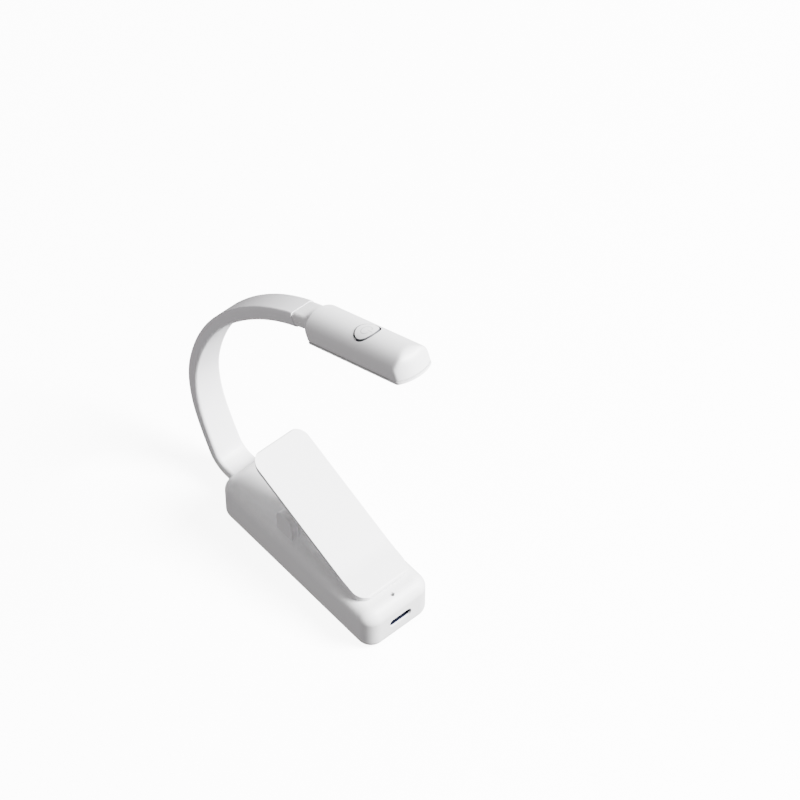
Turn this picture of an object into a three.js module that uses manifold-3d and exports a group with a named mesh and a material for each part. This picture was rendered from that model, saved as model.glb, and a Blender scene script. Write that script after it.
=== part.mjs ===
// Clip-on reading lamp: a battery housing with a sprung clip on its top, a flat bending neck and an LED head.
// Millimetres, +Z up, +X towards the charging port. The origin is the centre of the housing's flat underside.
import * as THREE from "three";
import { mergeVertices } from "three/addons/utils/BufferGeometryUtils.js";
import Module from "manifold-3d";

const wasm = await Module();
wasm.setup();

// ---------- driving dimensions ----------
const HOUSING = {
  length: 79.4, width: 28, height: 17.7, corner: 5.5, wall: 1.5, lowFillet: 3.4, topFillet: 4.8,
};
const SEAM = 3.2; // height of the joint between the two housing covers
const SEAM_GAP = 0.15;
const FIT = 0.3; // clearance between neighbouring pieces
const REAR = -HOUSING.length / 2;
const FRONT = HOUSING.length / 2;

const BOSS = { x: 33.5, y: 8.5, radius: 2.3, bore: 0.9 };
const PORT = { z: 8.5, width: 9, height: 3.2, depth: 7.3, recess: 0.5 };
const PINHOLE = { x: 35.5, radius: 0.75 };
const BOARD = { rear: 10, front: 37.5, halfWidth: 6, low: 5.6, high: 6.6 };
const BOARD_POSTS = { rows: [14, 29], y: 4, radius: 1.3, low: 1.2 };
const CHIP = { rear: 18, front: 22.5, halfWidth: 2.2, height: 0.9 };
const SIGNAL_LED = { x: 27.5, length: 1.2, width: 1.6, height: 0.6 };
const LIGHT_PIPE = { radius: 0.8, exit: 0.45, arm: [12, 13.4], armHalf: 0.7 };
const BATTERY = { rear: -27, front: 8, halfWidth: 10, low: 2.1, high: 6.8 };
const TAPE = { rear: -24, front: 5, halfWidth: 8, low: 1.65 };

const PIVOT = { x: -7.45, z: 23.4, pin: 1, bore: 1.15 };
const EAR = { radius: 4.1, inner: 8.3, outer: 11.3 };
const LUG = { radius: 3.3, inner: 5.2, outer: 8 };
const LEVER = {
  rear: -25.3, knee: 21.3, front: 32.7, halfWidth: 11.05, corner: 5,
  rearTop: 42.2, slope: 0.415, thickness: 1.7,
};
const JAW = { rear: 22.5, front: 31.2, halfWidth: 8, padThickness: 0.75, gap: 0.4 };

// The neck's centreline in the plane y = 0. It leaves the rear wall heading back, then turns up and over.
const NECK_START = { x: REAR, z: 7.9, heading: Math.PI };
const NECK_ARCS = [
  { length: 6.5, turn: 0 },
  { length: 8.7, turn: 61.7 },
  { length: 13.9, turn: 6 },
  { length: 29.4, turn: 35 },
  { length: 41.9, turn: 24.2 },
  { length: 25.1, turn: 10.4 },
  { length: 35, turn: 18.5 },
];
const NECK_LENGTH = NECK_ARCS.reduce((sum, arc) => sum + arc.length, 0);
const NECK = {
  rootWidth: 11.6, tipWidth: 9.4, thickness: 4.6, tipThickness: 5.4, thickensFrom: 100,
  corner: 1.3, capCorner: 1.6, collarEnd: 12, capStart: NECK_LENGTH - 9.8,
};
const COLLAR_FLARE = { length: 5, width: 3, thickness: 1.6, corner: 0.6 };
const BENDS = [26, 54, 82, 110, 138]; // distance along the neck of each place where it bends
const BEND_GAP = 0.6; // each link stops this far short of a bend
const CHANNEL = { width: 6, thickness: 2.5 }; // the passage through the neck
const STRIP = { width: 5, thickness: 0.8, offset: -0.55 };
const LEAD = { width: 4, thickness: 0.6, offset: 0.6 };

const HEAD = {
  length: 48.4, width: 14, height: 9.4, wall: 5.2, bow: 2.7, nose: 3.8, shell: 1.1, neckHeight: 4.5,
};
// The heights of the bottom cover's top and of the top shell's lower edge.
const HEAD_SPLIT = { cover: 1, shell: 1.25 };
const WINDOW = { rear: 9, front: 43, halfWidth: 4.8 };
const LED_BOARD = { rear: 12.5, front: 44, halfWidth: 4.6, low: 3.2, high: 4 };
const LEDS = { places: [17, 25, 33, 41], length: 2.8, width: 3.5, low: 2.4, high: 3.1 };
const SWITCH = { half: 3, low: 4.1, high: 6.3, well: 5.2, wellRadius: 2, plunger: 1.5, plungerLow: 5.9 };
const BUTTON = { u: 25.5, radius: 4.2, hole: 4.45, low: 7.2, proud: 0.15 };

// ---------- materials ----------
const finish = (color, roughness, metalness = 0) =>
  new THREE.MeshStandardMaterial({ color, roughness, metalness });
const WHITE_PLASTIC = finish(0xebebed, 0.5);
const WHITE_SILICONE = finish(0xe8e6ea, 0.65);
const SOFT_PAD = finish(0xdcdcde, 0.8);
const STEEL = finish(0xb8bcc0, 0.3, 1);
const SPRING_STEEL = finish(0x8f9296, 0.35, 1);
const TINNED_STEEL = finish(0x9aa0aa, 0.35, 1);
const BLACK_PLASTIC = finish(0x17181c, 0.5);
const CIRCUIT_BOARD = finish(0x1f6b3a, 0.5);
const WHITE_BOARD = finish(0xf2f2ee, 0.45);
const FOIL = finish(0xb9bdc4, 0.35, 0.8);
const FOAM_TAPE = finish(0xf0f0ea, 0.9);
const LEAD_COVER = finish(0xd8322c, 0.6);
const CLEAR_PLASTIC = finish(0xf4f6f8, 0.15);
const LED_LENS = finish(0xf5e27a, 0.3);

// ---------- solids ----------
function toSolid(geometry) {
  const bare = geometry.clone();
  bare.deleteAttribute("normal");
  bare.deleteAttribute("uv");
  const merged = mergeVertices(bare, 1e-4);
  const mesh = new wasm.Mesh({
    numProp: 3,
    vertProperties: merged.attributes.position.array,
    triVerts: new Uint32Array(merged.index.array),
  });
  return new wasm.Manifold(mesh);
}

function toGeometry(solid) {
  const mesh = solid.getMesh();
  const geometry = new THREE.BufferGeometry();
  geometry.setAttribute("position", new THREE.BufferAttribute(mesh.vertProperties, 3));
  geometry.setIndex(new THREE.BufferAttribute(mesh.triVerts, 1));
  return geometry;
}

const combine = (operation, first, rest) =>
  toGeometry(rest.reduce((solid, next) => solid[operation](toSolid(next)), toSolid(first)));
const join = (first, ...rest) => combine("add", first, rest);
const cut = (first, ...rest) => combine("subtract", first, rest);
const common = (first, ...rest) => combine("intersect", first, rest);

const box = (x, y, z) =>
  new THREE.BoxGeometry(x[1] - x[0], y[1] - y[0], z[1] - z[0])
    .translate((x[0] + x[1]) / 2, (y[0] + y[1]) / 2, (z[0] + z[1]) / 2);
const rodY = (radius, x, y, z, sides = 16) =>
  new THREE.CylinderGeometry(radius, radius, y[1] - y[0], sides).translate(x, (y[0] + y[1]) / 2, z);
const rodZ = (radius, x, y, z, sides = 12) =>
  new THREE.CylinderGeometry(radius, radius, z[1] - z[0], sides)
    .rotateX(Math.PI / 2)
    .translate(x, y, (z[0] + z[1]) / 2);

const AXIS_X = new THREE.Vector3(1, 0, 0);
const AXIS_Y = new THREE.Vector3(0, 1, 0);
const AXIS_Z = new THREE.Vector3(0, 0, 1);
const SIDE_VIEW = new THREE.Matrix4().makeBasis(AXIS_X, AXIS_Z, AXIS_Y.clone().negate());
const END_VIEW = new THREE.Matrix4().makeBasis(AXIS_Y, AXIS_Z, AXIS_X);

const extrude = (shape, depth, curveSegments) =>
  new THREE.ExtrudeGeometry(shape, { depth, curveSegments, bevelEnabled: false });
// An outline drawn in x and z, extruded across y from low to high.
const extrudeAcross = (shape, y, curveSegments = 8) =>
  extrude(shape, y[1] - y[0], curveSegments).applyMatrix4(SIDE_VIEW).translate(0, y[1], 0);
// An outline drawn in y and z, extruded along x from low to high.
const extrudeAlong = (shape, x, curveSegments = 16) =>
  extrude(shape, x[1] - x[0], curveSegments).applyMatrix4(END_VIEW).translate(x[0], 0, 0);
// An outline drawn in x and y, extruded up z from low to high.
const extrudeUp = (shape, z, curveSegments = 8) =>
  extrude(shape, z[1] - z[0], curveSegments).translate(0, 0, z[0]);

// The corners of a rounded rectangle about the origin, turning left.
function roundedRing(length, width, radius, steps = 4) {
  const points = [];
  [[1, 1], [-1, 1], [-1, -1], [1, -1]].forEach(([right, up], corner) => {
    for (let i = 0; i <= steps; i++) {
      const angle = (corner + i / steps) * (Math.PI / 2);
      const x = right * (length / 2 - radius) + radius * Math.cos(angle);
      points.push(new THREE.Vector2(x, up * (width / 2 - radius) + radius * Math.sin(angle)));
    }
  });
  return points;
}

const roundedShape = (length, width, radius, steps) =>
  new THREE.Shape(roundedRing(length, width, radius, steps));

// A closed skin over a row of rings that all have the same number of points.
function loft(rings) {
  const count = rings[0].length;
  const last = (rings.length - 1) * count;
  const index = [];
  for (let start = 0; start < last; start += count)
    for (let i = 0; i < count; i++) {
      const next = (i + 1) % count;
      index.push(start + i, start + next, start + count + next);
      index.push(start + i, start + count + next, start + count + i);
    }
  for (let i = 1; i + 1 < count; i++) {
    index.push(0, i + 1, i);
    index.push(last, last + i, last + i + 1);
  }
  const geometry = new THREE.BufferGeometry();
  const corners = rings.flat().flatMap((point) => point.toArray());
  geometry.setAttribute("position", new THREE.Float32BufferAttribute(corners, 3));
  geometry.setIndex(index);
  return geometry;
}

// A rounded block standing on z = low, with its lower and upper edges filleted.
function softBlock(length, width, corner, low, high, lowFillet, topFillet, steps = 3) {
  const ring = (inset, z) =>
    roundedRing(length - 2 * inset, width - 2 * inset, corner - inset)
      .map((point) => new THREE.Vector3(point.x, point.y, z));
  const rings = [];
  for (let i = lowFillet > 0 ? 0 : steps; i <= steps; i++) {
    const angle = (i / steps) * (Math.PI / 2);
    rings.push(ring(lowFillet * (1 - Math.sin(angle)), low + lowFillet * (1 - Math.cos(angle))));
  }
  for (let i = 0; i <= (topFillet > 0 ? steps : 0); i++) {
    const angle = (i / steps) * (Math.PI / 2);
    rings.push(ring(topFillet * (1 - Math.cos(angle)), high - topFillet * (1 - Math.sin(angle))));
  }
  return loft(rings);
}

const housingBlock = (inset, low, high, lowFillet, topFillet) =>
  softBlock(
    HOUSING.length - 2 * inset, HOUSING.width - 2 * inset, HOUSING.corner - inset,
    low, high, lowFillet, topFillet,
  );

const piece = (name, geometry, material) => {
  const mesh = new THREE.Mesh(geometry, material);
  mesh.name = name;
  return mesh;
};
const BOTH_SIDES = [-1, 1];
const between = (side, near, far) => [side * near, side * far].sort((a, b) => a - b);

// ---------- neck centreline ----------
// The place and heading at a distance along the neck. Before its start and past its end it runs straight on.
function neckAt(distance) {
  let { x, z, heading } = NECK_START;
  let left = distance;
  const advance = (length, rate) => {
    const turned = heading - rate * length;
    x += rate ? (Math.sin(heading) - Math.sin(turned)) / rate : length * Math.cos(heading);
    z += rate ? (Math.cos(turned) - Math.cos(heading)) / rate : length * Math.sin(heading);
    heading = turned;
  };
  for (const arc of NECK_ARCS) {
    const run = Math.min(left, arc.length);
    advance(run, THREE.MathUtils.degToRad(arc.turn) / arc.length);
    left -= run;
    if (left <= 0) break;
  }
  if (left > 0) advance(left, 0);
  return { x, z, heading };
}

const neckWidth = (distance) => {
  const share = (distance - NECK.collarEnd) / (NECK.capStart - NECK.collarEnd);
  return THREE.MathUtils.lerp(NECK.rootWidth, NECK.tipWidth, THREE.MathUtils.clamp(share, 0, 1));
};

const neckThickness = (distance) => {
  const share = (distance - NECK.thickensFrom) / (NECK.capStart - NECK.thickensFrom);
  return THREE.MathUtils.lerp(NECK.thickness, NECK.tipThickness, THREE.MathUtils.clamp(share, 0, 1));
};

// A bar that follows the neck between two distances. Its section is given at each distance.
function neckBar(from, to, sectionAt, offset = 0, spacing = 4.7) {
  const steps = Math.max(2, Math.ceil((to - from) / spacing));
  const rings = [];
  for (let i = 0; i <= steps; i++) {
    const distance = from + ((to - from) * i) / steps;
    const { x, z, heading } = neckAt(distance);
    const { width, thickness, corner, cornerSteps = 1 } = sectionAt(distance);
    const outward = new THREE.Vector2(-Math.sin(heading), Math.cos(heading));
    rings.push(roundedRing(width, thickness, corner, cornerSteps).map((point) => {
      const height = point.y + offset;
      return new THREE.Vector3(x + outward.x * height, point.x, z + outward.y * height);
    }));
  }
  return loft(rings);
}

const sleeveSection = (distance) =>
  ({ width: neckWidth(distance), thickness: neckThickness(distance), corner: NECK.corner, cornerSteps: 2 });
const capSection = () =>
  ({ width: NECK.tipWidth, thickness: NECK.tipThickness, corner: NECK.capCorner, cornerSteps: 2 });
const flangeSection = () => ({ width: NECK.tipWidth + 0.6, thickness: NECK.tipThickness - 0.2, corner: 2 });
const channelSection = () => ({ width: CHANNEL.width, thickness: CHANNEL.thickness, corner: 0.5 });
const stripSection = () => ({ width: STRIP.width, thickness: STRIP.thickness, corner: 0.2 });
const leadSection = () => ({ width: LEAD.width, thickness: LEAD.thickness, corner: 0.3 });
// The collar flares where it grows out of the housing's rear wall.
const collarSection = (distance) => {
  const flare = Math.max(0, 1 - distance / COLLAR_FLARE.length) ** 2;
  return {
    width: NECK.rootWidth + COLLAR_FLARE.width * flare,
    thickness: NECK.thickness + COLLAR_FLARE.thickness * flare,
    corner: NECK.corner + COLLAR_FLARE.corner * flare,
    cornerSteps: 2,
  };
};

// ---------- housing ----------
function screw(head, headRadius, thread, threadRadius) {
  const profile = [
    new THREE.Vector2(0, head[0]),
    new THREE.Vector2(headRadius, head[0]),
    new THREE.Vector2(headRadius, head[1]),
    new THREE.Vector2(threadRadius, head[1]),
    new THREE.Vector2(threadRadius, thread - threadRadius),
    new THREE.Vector2(0, thread),
  ];
  return new THREE.LatheGeometry(profile, 12).rotateX(Math.PI / 2);
}

const BASE_BOSSES = [[1, 1], [-1, 1], [-1, -1], [1, -1]].map(([x, y]) => [x * BOSS.x, y * BOSS.y]);
const ANCHOR = { x: REAR + 6.2, halfLength: 3.5, halfWidth: 5.9, low: 5.6, high: 10.3, screwY: 4.2 };

function baseCover() {
  const tray = cut(
    housingBlock(0, 0, SEAM, HOUSING.lowFillet, 0),
    housingBlock(HOUSING.wall, 1.6, SEAM + 1, HOUSING.lowFillet - HOUSING.wall, 0),
  );
  const posts = BOARD_POSTS.rows.flatMap((x) => BOTH_SIDES.map((side) =>
    rodZ(BOARD_POSTS.radius, x, side * BOARD_POSTS.y, [BOARD_POSTS.low, BOARD.low - 0.1])));
  const holes = BASE_BOSSES.flatMap(([x, y]) => [rodZ(1.1, x, y, [-1, 3]), rodZ(2, x, y, [-1, 0.95])]);
  return cut(join(tray, ...posts), ...holes);
}

function topCover() {
  const roof = HOUSING.height - HOUSING.wall;
  const shell = cut(
    housingBlock(0, SEAM + SEAM_GAP, HOUSING.height, 0, HOUSING.topFillet),
    housingBlock(HOUSING.wall, SEAM - 1, roof, 0, HOUSING.topFillet - HOUSING.wall),
  );
  const earShape = new THREE.Shape();
  earShape.moveTo(PIVOT.x - EAR.radius, roof);
  earShape.lineTo(PIVOT.x + EAR.radius, roof);
  earShape.absarc(PIVOT.x, PIVOT.z, EAR.radius, 0, Math.PI, false);
  const ears = BOTH_SIDES.map((side) => extrudeAcross(earShape, between(side, EAR.inner, EAR.outer), 12));
  const earBores = BOTH_SIDES.map((side) =>
    rodY(PIVOT.bore, PIVOT.x, between(side, EAR.inner - 1, EAR.outer - 0.8), PIVOT.z));
  const bosses = BASE_BOSSES.map(([x, y]) => rodZ(BOSS.radius, x, y, [1.9, roof + 0.5]));
  const bossBores = BASE_BOSSES.map(([x, y]) => rodZ(BOSS.bore, x, y, [1, 8]));
  const anchorPosts = BOTH_SIDES.map((side) =>
    rodZ(1.6, ANCHOR.x, side * ANCHOR.screwY, [ANCHOR.high + FIT, roof + 0.5]));
  const anchorBores = BOTH_SIDES.map((side) => rodZ(0.8, ANCHOR.x, side * ANCHOR.screwY, [ANCHOR.high, 14]));
  const collar = neckBar(-1, NECK.collarEnd, collarSection, 0, 1.5);
  const collarBore = neckBar(-4, NECK.collarEnd + 1, channelSection, 0, 2);
  const portShape = roundedShape(PORT.width + 0.5, PORT.height + 0.5, 1.7, 6);
  const portHole = extrudeAlong(portShape, [FRONT - 3, FRONT + 1]).translate(0, 0, PORT.z);
  const pinhole = rodZ(PINHOLE.radius, PINHOLE.x, 0, [roof - 1, HOUSING.height + 1], 12);
  const padPocket = box(
    [JAW.rear - FIT, JAW.front + FIT], [-JAW.halfWidth - FIT, JAW.halfWidth + FIT],
    [HOUSING.height - 0.9, HOUSING.height + 1],
  );
  return cut(
    join(shell, ...ears, ...bosses, ...anchorPosts, collar),
    collarBore, portHole, pinhole, padPocket, ...earBores, ...bossBores, ...anchorBores,
  );
}

function usbPort() {
  const rear = FRONT - PORT.recess - PORT.depth;
  const front = FRONT - PORT.recess;
  const outer = extrudeAlong(roundedShape(PORT.width, PORT.height, 1.5, 6), [rear, front]);
  const bore = roundedShape(PORT.width - 0.6, PORT.height - 0.6, 1.25, 6);
  const inner = extrudeAlong(bore, [rear + 0.6, front + 1]);
  const tongue = box([rear + 0.9, front - 0.7], [-3.35, 3.35], [-0.35, 0.35]);
  return [
    piece("usb_socket", cut(outer, inner).translate(0, 0, PORT.z), TINNED_STEEL),
    piece("usb_tongue", tongue.translate(0, 0, PORT.z), BLACK_PLASTIC),
  ];
}

function lightPipe() {
  const { radius, exit, arm, armHalf } = LIGHT_PIPE;
  const foot = BOARD.high + SIGNAL_LED.height + 0.5;
  return join(
    rodZ(radius, SIGNAL_LED.x, 0, [foot, arm[0] + 1], 12),
    box([SIGNAL_LED.x - 0.6, PINHOLE.x + 0.6], [-armHalf, armHalf], arm),
    rodZ(exit, PINHOLE.x, 0, [arm[0] + 1, HOUSING.height - 0.5], 12),
  );
}

function housing() {
  const group = new THREE.Group();
  group.add(piece("base_cover", baseCover(), WHITE_PLASTIC));
  group.add(piece("top_cover", topCover(), WHITE_PLASTIC));
  BASE_BOSSES.forEach(([x, y], i) => {
    const mesh = piece(`base_screw_${i + 1}`, screw([0.15, 0.85], 1.7, 6.5, 0.75), STEEL);
    mesh.position.set(x, y, 0);
    group.add(mesh);
  });
  const cell = softBlock(
    BATTERY.front - BATTERY.rear, 2 * BATTERY.halfWidth, 2, BATTERY.low, BATTERY.high, 1, 1, 2,
  ).translate((BATTERY.front + BATTERY.rear) / 2, 0, 0);
  group.add(piece("battery_cell", cell, FOIL));
  const tapeTop = BATTERY.low - 0.05;
  const tape = box([TAPE.rear, TAPE.front], [-TAPE.halfWidth, TAPE.halfWidth], [TAPE.low, tapeTop]);
  group.add(piece("battery_tape", tape, FOAM_TAPE));
  const board = box([BOARD.rear, BOARD.front], [-BOARD.halfWidth, BOARD.halfWidth], [BOARD.low, BOARD.high]);
  group.add(piece("main_board", board, CIRCUIT_BOARD));
  const onBoard = BOARD.high + 0.1;
  const chipTop = onBoard + CHIP.height;
  const chip = box([CHIP.rear, CHIP.front], [-CHIP.halfWidth, CHIP.halfWidth], [onBoard, chipTop]);
  group.add(piece("charger_chip", chip, BLACK_PLASTIC));
  const { x, length, width, height } = SIGNAL_LED;
  const led = box([x - length / 2, x + length / 2], [-width / 2, width / 2], [onBoard, onBoard + height]);
  group.add(piece("charge_led", led, LED_LENS));
  group.add(piece("charge_light_pipe", lightPipe(), CLEAR_PLASTIC));
  group.add(...usbPort());
  const lowerPad = box(
    [JAW.rear, JAW.front], [-JAW.halfWidth, JAW.halfWidth],
    [HOUSING.height - 0.8, HOUSING.height - 0.8 + JAW.padThickness],
  );
  group.add(piece("jaw_pad_lower", lowerPad, SOFT_PAD));
  return group;
}

// ---------- clip ----------
const leverTop = (x) => LEVER.rearTop - LEVER.slope * (x - LEVER.rear);

function clipLever() {
  const { knee } = LEVER;
  const drop = LEVER.thickness * Math.hypot(1, LEVER.slope);
  const jawLow = HOUSING.height + JAW.gap;
  const side = new THREE.Shape();
  side.moveTo(LEVER.rear, leverTop(LEVER.rear) - drop + 0.3);
  side.lineTo(LEVER.rear + 0.6, leverTop(LEVER.rear + 0.6) - drop);
  side.lineTo(knee - 1.5, leverTop(knee - 1.5) - drop);
  side.lineTo(knee + 1, jawLow);
  side.lineTo(LEVER.front - 0.9, jawLow);
  side.quadraticCurveTo(LEVER.front, jawLow, LEVER.front, jawLow + 0.7);
  side.quadraticCurveTo(LEVER.front, leverTop(knee) - 3.3, LEVER.front - 2.6, leverTop(knee) - 2.6);
  side.lineTo(knee, leverTop(knee));
  side.lineTo(LEVER.rear + 2.4, leverTop(LEVER.rear + 2.4));
  side.quadraticCurveTo(LEVER.rear, leverTop(LEVER.rear), LEVER.rear, leverTop(LEVER.rear) - drop + 0.9);
  const plan = roundedShape(LEVER.front - LEVER.rear, 2 * LEVER.halfWidth, LEVER.corner, 6);
  const outline = extrudeUp(plan, [0, 60]).translate((LEVER.front + LEVER.rear) / 2, 0, 0);
  const slab = common(extrudeAcross(side, [-LEVER.halfWidth - 1, LEVER.halfWidth + 1], 5), outline);
  const lug = new THREE.Shape();
  lug.moveTo(PIVOT.x + LUG.radius, PIVOT.z);
  lug.lineTo(PIVOT.x + LUG.radius, leverTop(PIVOT.x + LUG.radius) - 0.8);
  lug.lineTo(PIVOT.x - LUG.radius, leverTop(PIVOT.x - LUG.radius) - 0.8);
  lug.absarc(PIVOT.x, PIVOT.z, LUG.radius, Math.PI, 2 * Math.PI, false);
  const lugs = BOTH_SIDES.map((hand) => extrudeAcross(lug, between(hand, LUG.inner, LUG.outer), 10));
  const bore = rodY(PIVOT.bore, PIVOT.x, [-LUG.outer - 1, LUG.outer + 1], PIVOT.z);
  const padPocket = box(
    [JAW.rear - FIT, JAW.front + FIT], [-JAW.halfWidth - FIT, JAW.halfWidth + FIT],
    [jawLow - 1, jawLow + 0.85],
  );
  return cut(join(slab, ...lugs), bore, padPocket);
}

// A coil about the pivot pin with one leg up to the lever and one down to the housing.
function torsionSpring() {
  const coil = { radius: 2.2, wire: 0.38, turns: 4.5, pitch: 1.1, stepsPerTurn: 10 };
  const steps = coil.turns * coil.stepsPerTurn;
  const startAngle = Math.PI * 0.35;
  const points = [];
  const onCoil = (i) => {
    const angle = startAngle + (i / coil.stepsPerTurn) * 2 * Math.PI;
    const x = PIVOT.x + coil.radius * Math.cos(angle);
    const y = (i / steps - 0.5) * coil.turns * coil.pitch;
    return new THREE.Vector3(x, y, PIVOT.z + coil.radius * Math.sin(angle));
  };
  const first = onCoil(0);
  const last = onCoil(steps);
  points.push(new THREE.Vector3(first.x - 8.2, first.y, first.z + 8.6));
  points.push(new THREE.Vector3(first.x - 3.8, first.y, first.z + 3.1));
  for (let i = 0; i <= steps; i++) points.push(onCoil(i));
  points.push(new THREE.Vector3(last.x - 4, last.y, last.z - 1.3));
  points.push(new THREE.Vector3(last.x - 9, last.y, HOUSING.height + 0.7));
  const route = new THREE.CatmullRomCurve3(points);
  const section = new THREE.Shape().absarc(0, 0, coil.wire, 0, 2 * Math.PI, false);
  return new THREE.ExtrudeGeometry(section, {
    steps: points.length + 6, extrudePath: route, bevelEnabled: false, curveSegments: 3,
  });
}

function clip() {
  const group = new THREE.Group();
  group.add(piece("clip_lever", clipLever(), WHITE_PLASTIC));
  const pin = rodY(PIVOT.pin, PIVOT.x, [-EAR.outer + 1, EAR.outer - 1], PIVOT.z);
  group.add(piece("clip_pivot_pin", pin, STEEL));
  group.add(piece("clip_torsion_spring", torsionSpring(), SPRING_STEEL));
  const low = HOUSING.height + JAW.gap - 0.05;
  const upperPad = box(
    [JAW.rear, JAW.front], [-JAW.halfWidth, JAW.halfWidth], [low, low + JAW.padThickness],
  );
  group.add(piece("jaw_pad_upper", upperPad, SOFT_PAD));
  return group;
}

// ---------- neck ----------
const ENDS = { strip: [-8.5, NECK_LENGTH + 9.6], lead: [-48, NECK_LENGTH + 14] };

function neck() {
  const group = new THREE.Group();
  for (let link = 0; link <= BENDS.length; link++) {
    const first = link === 0;
    const last = link === BENDS.length;
    const from = first ? null : BENDS[link - 1] + BEND_GAP;
    const to = last ? null : BENDS[link] - BEND_GAP;
    const sleeve = [from ?? NECK.collarEnd + SEAM_GAP, to ?? NECK.capStart - SEAM_GAP];
    const passage = neckBar(sleeve[0] - 1, sleeve[1] + 1, channelSection);
    const cover = cut(neckBar(...sleeve, sleeveSection), passage);
    const strip = neckBar(from ?? ENDS.strip[0], to ?? ENDS.strip[1], stripSection, STRIP.offset);
    const lead = neckBar(from ?? ENDS.lead[0], to ?? ENDS.lead[1], leadSection, LEAD.offset);
    group.add(piece(`neck_sleeve_${link + 1}`, cover, WHITE_SILICONE));
    group.add(piece(`neck_strip_${link + 1}`, strip, STEEL));
    group.add(piece(`neck_lead_${link + 1}`, lead, LEAD_COVER));
  }
  const block = box(
    [ANCHOR.x - ANCHOR.halfLength, ANCHOR.x + ANCHOR.halfLength],
    [-ANCHOR.halfWidth, ANCHOR.halfWidth], [ANCHOR.low, ANCHOR.high],
  );
  const passage = neckBar(-12, -1, channelSection, 0, 11);
  const screwHoles = BOTH_SIDES.map((side) => rodZ(1, ANCHOR.x, side * ANCHOR.screwY, [4, 12]));
  group.add(piece("neck_anchor", cut(block, passage, ...screwHoles), STEEL));
  BOTH_SIDES.forEach((side, i) => {
    const mesh = piece(`anchor_screw_${i + 1}`, screw([4.4, 5.45], 1.6, 13.2, 0.7), STEEL);
    mesh.position.set(ANCHOR.x, side * ANCHOR.screwY, 0);
    group.add(mesh);
  });
  return group;
}

// ---------- head, in its own frame: x from the rear face to the tip, z up from the light side ----------
function headForm(inset, low) {
  const { length, width, height, wall, bow, nose } = HEAD;
  const half = width / 2;
  const rise = height - wall;
  const domeRadius = (half * half + rise * rise) / (2 * rise);
  const domeCentre = height - domeRadius;
  const start = Math.asin((wall - domeCentre) / domeRadius);
  const section = new THREE.Shape();
  section.moveTo(-half + inset, low);
  section.lineTo(half - inset, low);
  section.absarc(0, domeCentre, domeRadius - inset, start, Math.PI - start, false);
  const side = new THREE.Shape();
  side.moveTo(inset, low);
  side.lineTo(length - inset, low);
  side.absarc(length - nose, height - nose, nose - inset, 0, Math.PI / 2, false);
  side.lineTo(inset, height - inset);
  const bowRadius = (half * half + bow * bow) / (2 * bow);
  const bowCentre = length - bowRadius;
  const bowAngle = Math.asin((half - inset) / (bowRadius - inset));
  const plan = new THREE.Shape();
  plan.moveTo(inset, half - inset);
  plan.lineTo(inset, -half + inset);
  plan.absarc(bowCentre, 0, bowRadius - inset, -bowAngle, bowAngle, false);
  return common(
    extrudeAlong(section, [inset, length - inset]),
    extrudeAcross(side, [-half, half], 8),
    extrudeUp(plan, [low, height + 1], 12),
  );
}

function headTopShell() {
  const { shell, width, neckHeight } = HEAD;
  const holeHalf = NECK.tipThickness / 2 + SEAM_GAP;
  const walls = cut(headForm(0, HEAD_SPLIT.shell), headForm(shell, HEAD_SPLIT.shell - 1));
  const neckHole = box(
    [-1, shell + 1], [-NECK.tipWidth / 2 - SEAM_GAP, NECK.tipWidth / 2 + SEAM_GAP],
    [neckHeight - holeHalf, neckHeight + holeHalf],
  );
  const buttonHole = rodZ(BUTTON.hole, BUTTON.u, 0, [5, width], 32);
  return cut(walls, neckHole, buttonHole);
}

function headParts() {
  const parts = [];
  const window = box([WINDOW.rear, WINDOW.front], [-WINDOW.halfWidth, WINDOW.halfWidth], [-1, 2]);
  const coverSlice = box([-1, HEAD.length + 1], [-HEAD.width, HEAD.width], [-1, HEAD_SPLIT.cover]);
  parts.push(piece("head_top_shell", headTopShell(), WHITE_PLASTIC));
  parts.push(piece("head_bottom_cover", cut(common(headForm(0, 0), coverSlice), window), WHITE_PLASTIC));
  const lens = join(
    box(
      [WINDOW.rear + FIT, WINDOW.front - FIT], [-WINDOW.halfWidth + FIT, WINDOW.halfWidth - FIT],
      [0.1, 1.5],
    ),
    box(
      [WINDOW.rear - 1, WINDOW.front + 1], [-WINDOW.halfWidth - 0.6, WINDOW.halfWidth + 0.6],
      [1.3, 1.9],
    ),
  );
  parts.push(piece("light_diffuser", lens, CLEAR_PLASTIC));
  const board = box(
    [LED_BOARD.rear, LED_BOARD.front], [-LED_BOARD.halfWidth, LED_BOARD.halfWidth],
    [LED_BOARD.low, LED_BOARD.high],
  );
  parts.push(piece("led_board", board, WHITE_BOARD));
  LEDS.places.forEach((place, i) => {
    const { length, width, low, high } = LEDS;
    const led = box([place - length / 2, place + length / 2], [-width / 2, width / 2], [low, high]);
    parts.push(piece(`led_${i + 1}`, led, LED_LENS));
  });
  const { u } = BUTTON;
  const { half } = SWITCH;
  const switchBody = box([u - half, u + half], [-half, half], [SWITCH.low, SWITCH.high]);
  const well = rodZ(SWITCH.wellRadius, u, 0, [SWITCH.well, SWITCH.high + 1]);
  parts.push(piece("tact_switch", cut(switchBody, well), BLACK_PLASTIC));
  const plunger = rodZ(SWITCH.plunger, u, 0, [SWITCH.plungerLow, BUTTON.low - 0.15]);
  parts.push(piece("switch_plunger", plunger, BLACK_PLASTIC));
  const cap = common(rodZ(BUTTON.radius, u, 0, [BUTTON.low, HEAD.width], 32), headForm(-BUTTON.proud, 0));
  parts.push(piece("power_button", cap, WHITE_PLASTIC));
  return parts;
}

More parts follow.
